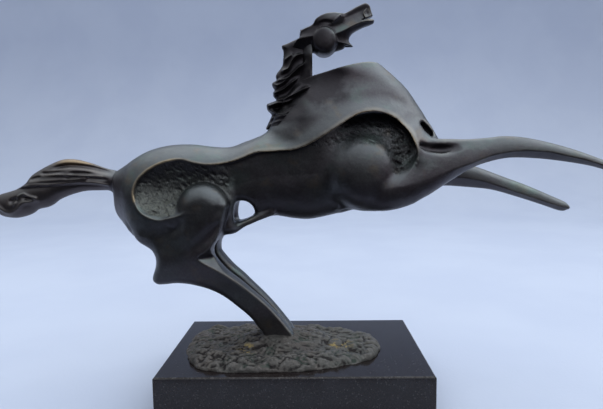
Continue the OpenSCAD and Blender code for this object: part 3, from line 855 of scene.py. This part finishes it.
def sew_felt():
    """A felt sheet under the plinth, with soft edges and an uneven nap."""
    low, high = node_box("felt_base")
    bm = bmesh.new()
    across, along = 60, 36
    rows = []
    for side in (0, 1):
        for j in range(along + 1):
            for i in range(across + 1):
                rim = i in (0, across) or j in (0, along)
                x = low[0] + (high[0] - low[0]) * i / across
                y = low[1] + (high[1] - low[1]) * j / along
                nap = 0.07 * math.sin(3.1 * i + 1.7 * j) * math.sin(1.3 * i - 2.3 * j)
                z = high[2] - (0.3 if rim else 0) if side else low[2] + (0.3 if rim else max(nap, 0))
                pull = 0.25 * math.sin(2.2 * (i + j)) ** 2 if rim else 0
                x, y = x * (1 - pull / 120), y * (1 - pull / 75)
                rows.append(bm.verts.new((x * MM, y * MM, z * MM)))
    per, wide = (across + 1) * (along + 1), across + 1
    for j in range(along):
        for i in range(across):
            a = j * wide + i
            bm.faces.new([rows[k] for k in (a, a + wide, a + wide + 1, a + 1)])
            bm.faces.new([rows[per + k] for k in (a, a + 1, a + wide + 1, a + wide)])
    loop = [i for i in range(across)] + [across + j * wide for j in range(along)]
    loop += [along * wide + i for i in range(across, 0, -1)] + [j * wide for j in range(along, 0, -1)]
    for a, b in zip(loop, loop[1:] + loop[:1]):
        bm.faces.new([rows[k] for k in (a, b, per + b, per + a)])
    mesh = bpy.data.meshes.new("felt_sheet")
    bm.to_mesh(mesh)
    bm.free()
    felt = bpy.data.objects.new("felt_sheet", mesh)
    bpy.context.collection.objects.link(felt)
    return felt


# ---------------------------------------------------------------- materials


class Finish:
    """A material and its nodes. Textures are laid out in the object's own metres."""

    def __init__(self, name, **constants):
        self.material = bpy.data.materials.new(name)
        self.material.use_nodes = True
        self.tree = self.material.node_tree
        self.shader = self.tree.nodes["Principled BSDF"]
        for key, value in constants.items():
            self.shader.inputs[key.replace("_", " ")].default_value = value
        self.where = self.tree.nodes.new("ShaderNodeTexCoord").outputs["Object"]

    def put(self, value, socket):
        if hasattr(value, "is_output"):
            self.tree.links.new(value, socket)
        else:
            socket.default_value = value

    def attribute(self, name):
        node = self.tree.nodes.new("ShaderNodeAttribute")
        node.attribute_name = name
        return node.outputs["Fac"]

    def math(self, operation, a, b=0.0, clamp=False):
        node = self.tree.nodes.new("ShaderNodeMath")
        node.operation, node.use_clamp = operation, clamp
        self.put(a, node.inputs[0])
        self.put(b, node.inputs[1])
        return node.outputs[0]

    def times(self, a, b, clamp=False):
        return self.math("MULTIPLY", a, b, clamp)

    def axes(self, vector=None):
        """The x, y and z of a vector, or of the place on the object."""
        node = self.tree.nodes.new("ShaderNodeSeparateXYZ")
        self.put(vector or self.where, node.inputs[0])
        return node.outputs[:3]

    def spaced(self, stretch, turn=(0, 0, 0)):
        node = self.tree.nodes.new("ShaderNodeMapping")
        self.put(self.where, node.inputs["Vector"])
        node.inputs["Scale"].default_value = stretch
        node.inputs["Rotation"].default_value = turn
        return node.outputs[0]

    def noise(self, size, detail=3.0, where=None, rough=0.55):
        """Noise from 0 to 1 whose lumps are about `size` metres."""
        node = self.tree.nodes.new("ShaderNodeTexNoise")
        self.put(where or self.where, node.inputs["Vector"])
        node.inputs["Scale"].default_value = 1 / size
        node.inputs["Detail"].default_value = detail
        node.inputs["Roughness"].default_value = rough
        return node.outputs["Fac"]

    def near(self, point, reach):
        """1 close to a point, 0 beyond `reach` metres from it."""
        node = self.tree.nodes.new("ShaderNodeVectorMath")
        node.operation = "DISTANCE"
        self.put(self.where, node.inputs[0])
        node.inputs[1].default_value = point
        return self.between(node.outputs["Value"], reach, 0.4 * reach)

    def cells(self, size, where=None, feature="F1", output="Distance"):
        node = self.tree.nodes.new("ShaderNodeTexVoronoi")
        node.feature = feature
        self.put(where or self.where, node.inputs["Vector"])
        node.inputs["Scale"].default_value = 1 / size
        return node.outputs[output]

    def between(self, value, start, end, low=0.0, high=1.0):
        """Goes smoothly from low to high as value goes from start to end."""
        node = self.tree.nodes.new("ShaderNodeMapRange")
        node.interpolation_type = "SMOOTHSTEP"
        for socket, number in zip(node.inputs[:5], (value, start, end, low, high)):
            self.put(number, socket)
        return node.outputs[0]

    def mix(self, share, a, b):
        node = self.tree.nodes.new("ShaderNodeMix")
        node.data_type = "RGBA"
        self.put(share, node.inputs["Factor"])
        for value, socket in ((a, node.inputs[6]), (b, node.inputs[7])):
            self.put(value if hasattr(value, "is_output") else (*value, 1), socket)
        return node.outputs[2]

    def bumps(self, *layers):
        """Adds bumps, each (height, distance in metres)."""
        normal = None
        for height, distance in layers:
            node = self.tree.nodes.new("ShaderNodeBump")
            node.inputs["Distance"].default_value = distance
            self.put(height, node.inputs["Height"])
            if normal is not None:
                self.put(normal, node.inputs["Normal"])
            normal = node.outputs[0]
        self.put(normal, self.shader.inputs["Normal"])

    def set(self, **links):
        for key, value in links.items():
            self.put(value, self.shader.inputs[key.replace("_", " ")])
        return self.material


def bronze_finish():
    """Dark waxed patina, greener in patches, brown where hands wear it, and bare metal on the rim. Light and
    shade are painted too: paler where faces turn up, on crests and on the lower hollow floors, and darker
    where faces turn down, in patches on the neck and foreleg pocket, and on the head and mane.
    """
    f = Finish("bronze", Coat_Weight=0.1, Coat_Roughness=0.32)
    x, _, z = f.axes()
    bulge = f.attribute("bulge")
    worn, rough = f.attribute("worn"), f.attribute("tooled")
    wide, medium, fine = f.noise(0.07, 2), f.noise(0.018, 4), f.noise(0.0022, 3)
    cloud = f.noise(0.035, 5, f.spaced((1, 1, 1.6), (0.3, 0.5, 0)))
    geometry = f.tree.nodes.new("ShaderNodeNewGeometry")
    facing = f.axes(geometry.outputs["Normal"])[2]
    # Painted light: faces turned up are mixed towards a paler blue-grey, as if lit from above.
    up = f.between(facing, -0.15, 0.75)
    colour = f.mix(f.between(wide, 0.35, 0.65), (0.096, 0.080, 0.091), (0.085, 0.085, 0.088))
    colour = f.mix(f.times(up, 0.8), colour, (0.126, 0.140, 0.151))
    green = f.times(f.between(cloud, 0.5, 0.7), f.between(facing, -0.3, 0.6, 0.15, 0.65))
    colour = f.mix(green, colour, (0.112, 0.162, 0.145))
    colour = f.mix(f.between(medium, 0.56, 0.74, 0, 0.55), colour, (0.150, 0.118, 0.092))
    colour = f.mix(f.between(fine, 0.35, 0.7, 0, 0.25), colour, (0.15, 0.16, 0.15))
    hollow = f.times(f.between(bulge, -0.03, -0.45), f.between(rough, 0, 1, 0.75, 0.35))
    colour = f.mix(hollow, colour, (0.030, 0.026, 0.032))
    # Crests are mixed towards pale bronze: partly patina rubbed off the high points, partly a painted
    # highlight along the ridges and the rim's lip.
    crest_wear_and_highlight = f.times(f.between(bulge, 0.16, 0.55), f.between(medium, 0.3, 0.6, 0.15, 0.6))
    colour = f.mix(crest_wear_and_highlight, colour, (0.25, 0.235, 0.21))
    # Dust in the tooled hollows, with painted light: paler, rougher and less metallic towards the bottom,
    # where the lower floors are made to look lit by the sky.
    dust_and_painted_light = f.times(rough, f.between(fine, 0.3, 0.6, 0.3, 0.9), clamp=True)
    painted_light_low_side = f.between(z, 0.226, 0.188, 0.12, 1)
    dust_and_painted_light = f.times(dust_and_painted_light, painted_light_low_side)
    colour = f.mix(dust_and_painted_light, colour, (0.235, 0.245, 0.215))
    shaded = f.between(facing, -0.05, -0.5, 0, 0.7)
    colour = f.mix(shaded, colour, (0.045, 0.040, 0.048))
    # Painted shade: two soft dark patches where the neck's hollow and the pocket of the foreleg's root fall in
    # shadow.
    for middle, reach, strength in (
        ((0.031, 0.304), (0.028, 0.023), 0.88),  # painted shade on the neck
        ((0.138, 0.2415), (0.021, 0.005), 0.8),  # painted shade in the pocket of the near foreleg's root
    ):
        off_x = f.math("DIVIDE", f.math("SUBTRACT", x, middle[0]), reach[0])
        off_z = f.math("DIVIDE", f.math("SUBTRACT", z, middle[1]), reach[1])
        painted_shade_patch = f.math("ADD", f.times(off_x, off_x), f.times(off_z, off_z))
        painted_shade_patch = f.math("ADD", painted_shade_patch, f.between(f.noise(0.02, 4), 0.3, 0.7, -0.4, 0.4))
        colour = f.mix(f.between(painted_shade_patch, 1.3, 0.4, 0, strength), colour, (0.034, 0.030, 0.035))
    tail = f.between(x, -0.175, -0.2)
    colour = f.mix(f.times(tail, 0.5), colour, (0.085, 0.066, 0.064))
    topped = f.times(f.between(x, -0.245, -0.225), f.between(x, -0.19, -0.205))
    topped = f.times(topped, f.between(z, 0.2285, 0.232, 0, 0.7))
    colour = f.mix(topped, colour, (0.30, 0.22, 0.13))
    # Painted shade: the mane and the head are darkened towards near black, most at the back of the head, on
    # the top of the nose bridge and on the side of the jaw.
    mane = f.times(f.between(x, 0.026, 0.008), f.between(z, 0.262, 0.27))
    painted_shade_bridge = f.math("SUBTRACT", z, f.times(x, 0.42))
    painted_shade_bridge = f.times(f.between(painted_shade_bridge, 0.3438, 0.3456), f.between(x, 0.043, 0.051))
    jaw = f.math("SUBTRACT", z, f.times(x, 0.37))
    jaw = f.times(f.between(jaw, 0.3368, 0.3350), f.between(x, 0.03, 0.044))
    head = f.math("MAXIMUM", f.math("MAXIMUM", painted_shade_bridge, jaw), f.between(x, 0.043, 0.028, 0.15, 1))
    head = f.times(head, f.between(z, 0.33, 0.35))
    colour = f.mix(f.times(f.math("MAXIMUM", mane, head), 0.88), colour, (0.025, 0.022, 0.026))
    brass = f.times(worn, f.between(f.noise(0.03, 3), 0.38, 0.62, 0.2, 1), clamp=True)
    colour = f.mix(brass, colour, (0.60, 0.46, 0.27))
    gloss = f.between(f.noise(0.012, 4), 0.3, 0.7, 0.4, 0.5)
    gloss = f.math("ADD", gloss, f.times(dust_and_painted_light, 0.25))
    strokes = f.noise(0.0011, 3, f.spaced((1.0, 1, 0.35), (0, 0.9, 0)))
    strokes = f.times(f.between(strokes, 0.42, 0.6), rough)
    f.bumps((f.noise(0.011, 3), 0.0005), (f.noise(0.0012, 3), 0.00008), (strokes, 0.0005))
    return f.set(Base_Color=colour, Roughness=gloss, Metallic=f.between(dust_and_painted_light, 0, 1, 0.95, 0.6))


def ground_finish():
    """The ground's duller patina: earthy grey-brown with green in the creases and gold where it is rubbed,
    with painted shade in the creases and a painted highlight on the crests.
    """
    f = Finish("ground_bronze", Specular_IOR_Level=0.4)
    bulge = f.attribute("bulge")
    wide, medium, fine = f.noise(0.03, 3), f.noise(0.009, 4), f.noise(0.0016, 4)
    colour = f.mix(f.between(wide, 0.38, 0.62), (0.084, 0.074, 0.069), (0.064, 0.062, 0.058))
    x = f.axes()[0]
    colour = f.mix(f.between(x, 0.01, 0.03, 0, 0.55), colour, (0.086, 0.094, 0.088))
    colour = f.mix(f.between(medium, 0.5, 0.72, 0, 0.6), colour, (0.118, 0.104, 0.092))
    colour = f.mix(f.between(fine, 0.4, 0.7, 0, 0.4), colour, (0.17, 0.16, 0.148))
    # Creases are darkened to near black, partly dark patina and partly painted shade; crests of the lumps are
    # lightened as a painted highlight.
    colour = f.mix(f.between(bulge, 0.02, -0.35, 0, 0.92), colour, (0.016, 0.013, 0.014))
    colour = f.mix(f.between(bulge, 0.1, 0.5, 0, 0.4), colour, (0.19, 0.18, 0.17))
    rubbed = f.math("MAXIMUM", f.near((0.044, -0.016, 0.05), 0.016), f.near((-0.048, -0.03, 0.05), 0.014))
    rubbed = f.times(rubbed, f.between(f.noise(0.006, 3), 0.5, 0.62, 0, 0.9))
    colour = f.mix(rubbed, colour, (0.34, 0.26, 0.11))
    green = f.times(f.between(bulge, 0.05, -0.15), f.between(f.noise(0.016, 3), 0.5, 0.65, 0, 0.25))
    colour = f.mix(green, colour, (0.10, 0.16, 0.125))
    f.bumps((f.noise(0.006, 5), 0.0018), (f.noise(0.0014, 4), 0.0006))
    gloss = f.between(fine, 0.3, 0.7, 0.5, 0.72)
    return f.set(Base_Color=colour, Roughness=gloss, Metallic=f.between(medium, 0.3, 0.7, 0.35, 0.65))


def granite_finish():
    """Polished black granite with fine crystals, and pale along its ground-off edges."""
    f = Finish("granite", Specular_IOR_Level=0.42)
    crystals = f.cells(0.0009, output="Color")
    split = f.tree.nodes.new("ShaderNodeSeparateColor")
    f.put(crystals, split.inputs[0])
    black, grey = (0.0085, 0.0055, 0.0055), (0.024, 0.0165, 0.0165)
    colour = f.mix(f.between(split.outputs[0], 0.6, 0.98, 0, 0.6), black, grey)
    colour = f.mix(f.between(split.outputs[1], 0.955, 0.99, 0, 0.6), colour, (0.085, 0.08, 0.08))
    colour = f.mix(f.between(f.noise(0.02, 3), 0.4, 0.7, 0, 0.35), colour, (0.018, 0.015, 0.018))
    place = f.axes()
    low, high = node_box("plinth")
    near_edge = []
    for axis in range(3):
        middle, half = (low[axis] + high[axis]) / 2 * MM, (high[axis] - low[axis]) / 2 * MM
        off = f.math("ABSOLUTE", f.math("SUBTRACT", place[axis], middle))
        near_edge.append(f.between(off, half - 0.0016, half - 0.0003))
    x, y, z = near_edge
    edge = f.math("MAXIMUM", f.times(x, y), f.times(f.math("MAXIMUM", x, y), z))
    chipped = f.times(edge, f.between(f.noise(0.005, 6), 0.45, 0.62, 0.08, 1))
    colour = f.mix(f.times(chipped, 0.2), colour, (0.20, 0.185, 0.18))
    gloss = f.math("ADD", f.between(f.noise(0.03, 4), 0.3, 0.7, 0.1, 0.2), f.times(chipped, 0.35))
    f.bumps((f.noise(0.025, 2), 0.0001), (chipped, 0.0003))
    return f.set(Base_Color=colour, Roughness=gloss)


def steel_finish():
    """Zinc-plated steel with turning marks."""
    f = Finish("steel", Metallic=1.0)
    grain = f.noise(0.0012, 4, f.spaced((1, 1, 14)))
    stain = f.noise(0.004, 3)
    colour = f.mix(f.between(stain, 0.35, 0.7), (0.56, 0.57, 0.58), (0.42, 0.42, 0.40))
    f.bumps((grain, 0.00004))
    return f.set(Base_Color=colour, Roughness=f.between(grain, 0.3, 0.7, 0.24, 0.42))


def pin_finish():
    """Bare cast brass, as the hoof pins are, dulled and brown in places."""
    f = Finish("pin_brass", Metallic=1.0)
    stain = f.noise(0.003, 4)
    colour = f.mix(f.between(stain, 0.35, 0.65), (0.58, 0.44, 0.22), (0.26, 0.19, 0.11))
    f.bumps((f.noise(0.0008, 3), 0.00006))
    return f.set(Base_Color=colour, Roughness=f.between(stain, 0.3, 0.7, 0.28, 0.5))


def fibre_finish():
    """Red-brown vulcanised fibre."""
    f = Finish("fibre", Specular_IOR_Level=0.3)
    fleck = f.noise(0.0006, 5, f.spaced((1, 1, 4)))
    colour = f.mix(f.between(fleck, 0.35, 0.65), (0.20, 0.058, 0.035), (0.30, 0.11, 0.065))
    f.bumps((fleck, 0.00006))
    return f.set(Base_Color=colour, Roughness=f.between(fleck, 0.3, 0.7, 0.6, 0.8))


def felt_finish():
    """Dark green wool felt: matted fibres with a faint nap."""
    f = Finish("felt", Sheen_Weight=0.4, Sheen_Roughness=0.5, Specular_IOR_Level=0.15)
    strands = f.noise(0.0007, 6, f.spaced((1, 2.2, 1), (0, 0, 0.6)))
    cloud = f.noise(0.012, 3)
    colour = f.mix(f.between(strands, 0.35, 0.65), (0.012, 0.045, 0.024), (0.030, 0.085, 0.050))
    colour = f.mix(f.between(cloud, 0.4, 0.7, 0, 0.3), colour, (0.045, 0.10, 0.065))
    f.bumps((strands, 0.0002))
    return f.set(Base_Color=colour, Roughness=f.between(strands, 0.3, 0.7, 0.82, 0.97))


def paper_finish():
    """Pale studio paper for the floor, faintly uneven."""
    f = Finish("studio_paper", Specular_IOR_Level=0.1)
    colour = f.mix(f.between(f.noise(0.25, 3), 0.35, 0.65), (0.515, 0.57, 0.70), (0.54, 0.595, 0.72))
    f.bumps((f.noise(0.004, 3), 0.0002))
    return f.set(Base_Color=colour, Roughness=f.between(f.noise(0.1, 2), 0.3, 0.7, 0.85, 0.95))


# ---------------------------------------------------------------- run

BRONZE = bronze_finish()
for node, piece in sculpt_horse().items():
    piece.data.materials.append(BRONZE)
    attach(piece, "root")
    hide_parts(node)

plate_grid, plate_field, plate_foot = sculpt_plate()
plate = sculpt("bronze_ground", plate_grid, plate_field, [plane(1, plate_foot, -1)])
swap_axes(plate)
plate.data.materials.append(ground_finish())
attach(plate, "root")
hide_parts("ground_plate")

felt = sew_felt()
felt.data.materials.append(felt_finish())
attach(felt, "root")
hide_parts("felt_base")

STEEL = steel_finish()
for node, finish in (
    ("plinth", granite_finish()),
    ("mounting_studs", STEEL),
    ("steel_washers", STEEL),
    ("nuts", STEEL),
    ("fibre_washers", fibre_finish()),
    ("hoof_pins", pin_finish()),
):
    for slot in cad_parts[node].material_slots:
        slot.material = finish

# ---------------------------------------------------------------- camera, light, floor

camera = bpy.data.objects.new("camera", bpy.data.cameras.new("camera"))
bpy.context.collection.objects.link(camera)
camera.data.sensor_width = 36
camera.data.lens = 28.24
pitch, yaw, roll = math.radians(-5.19), math.radians(-1.19), math.radians(-0.81)
ahead = Vector((math.sin(yaw) * math.cos(pitch), math.cos(yaw) * math.cos(pitch), math.sin(pitch)))
level = Vector((math.cos(yaw), -math.sin(yaw), 0))
upright = level.cross(ahead)
right = math.cos(roll) * level + math.sin(roll) * upright
above = math.cos(roll) * upright - math.sin(roll) * level
turned = Matrix((right, above, -ahead)).transposed().to_4x4()
camera.matrix_world = Matrix.Translation((0.01742, -0.4745, 0.23024)) @ turned
bpy.context.scene.camera = camera


def studio_floor(name, profile_line, width):
    """A floor swept from (y, z) points, and up into a backdrop where they rise."""
    points = [(x, y, z) for y, z in profile_line for x in (-width, width)]
    faces = [(2 * i, 2 * i + 1, 2 * i + 3, 2 * i + 2) for i in range(len(profile_line) - 1)]
    mesh = bpy.data.meshes.new(name)
    mesh.from_pydata(points, [], faces)
    mesh.polygons.foreach_set("use_smooth", [True] * len(faces))
    mesh.materials.append(PAPER)
    floor = bpy.data.objects.new(name, mesh)
    bpy.context.collection.objects.link(floor)
    return floor


PAPER = paper_finish()
turn = [math.radians(a) for a in range(0, 91, 6)]
sweep = [(1.3 + 0.9 * math.sin(a), 0.9 - 0.9 * math.cos(a)) for a in turn]
studio_floor("floor", [(-0.16, 0)] + sweep + [(2.2, 2.4)], 4)
front_floor = studio_floor("front_floor", [(-3, 0), (-0.16, 0)], 4)
# Like a black flag in front of the statue: its near side reflects dark.
front_floor.visible_glossy = False

world = bpy.data.worlds.new("studio")
bpy.context.scene.world = world
world.use_nodes = True
nodes, links = world.node_tree.nodes, world.node_tree.links


def world_node(kind, **settings):
    node = nodes.new(kind)
    for key, value in settings.items():
        setattr(node, key, value)
    return node


def ramp(value, *numbers):
    """Goes smoothly from the third number to the fourth as value goes from the first to the second."""
    node = world_node("ShaderNodeMapRange", interpolation_type="SMOOTHSTEP")
    links.new(value, node.inputs[0])
    for socket, number in zip(node.inputs[1:5], numbers):
        socket.default_value = number
    return node.outputs[0]


def product(a, b):
    node = world_node("ShaderNodeMath", operation="MULTIPLY")
    links.new(a, node.inputs[0])
    links.new(b, node.inputs[1])
    return node.outputs[0]


direction = world_node("ShaderNodeTexCoord").outputs["Generated"]
axes = world_node("ShaderNodeSeparateXYZ")
links.new(direction, axes.inputs[0])
height = ramp(axes.outputs[2], 0.02, 0.68, 0.012, 1.5)
behind = ramp(axes.outputs[1], -0.8, 0.3, 0.92, 1.0)
beside = ramp(axes.outputs[0], -0.8, 0.7, 0.5, 1.2)
bright = product(product(height, behind), beside)
tint = world_node("ShaderNodeMix", data_type="RGBA", clamp_factor=True)
links.new(height, tint.inputs[0])
tint.inputs[6].default_value = (0.95, 0.80, 0.95, 1)
tint.inputs[7].default_value = (0.88, 0.94, 1.0, 1)
sky = nodes["Background"]
links.new(tint.outputs[2], sky.inputs[0])
links.new(bright, sky.inputs[1])
seen = world_node("ShaderNodeBackground")
seen.inputs[0].default_value = (0.47, 0.54, 0.70, 1)
path = world_node("ShaderNodeLightPath")
choose = world_node("ShaderNodeMixShader")
links.new(path.outputs["Is Camera Ray"], choose.inputs[0])
links.new(sky.outputs[0], choose.inputs[1])
links.new(seen.outputs[0], choose.inputs[2])
links.new(choose.outputs[0], nodes["World Output"].inputs[0])


def softbox(name, place, target, size, power, colour):
    light = bpy.data.lights.new(name, "AREA")
    light.shape, light.size, light.size_y = "RECTANGLE", *size
    light.energy, light.color = power, colour
    lamp = bpy.data.objects.new(name, light)
    lamp.location = place
    lamp.rotation_euler = (Vector(place) - Vector(target)).to_track_quat("Z", "Y").to_euler()
    bpy.context.collection.objects.link(lamp)


softbox("overhead", (-0.15, 0.45, 1.5), (0, 0, 0.15), (2.2, 1.4), 9, (0.96, 0.98, 1.0))
softbox("right", (1.5, -0.1, 1.3), (0, 0, 0.2), (1.0, 0.8), 4, (0.95, 0.98, 1.0))

settings = bpy.context.scene.view_settings
settings.view_transform = "Standard"
settings.look = "None"
settings.exposure = 0
settings.gamma = 1
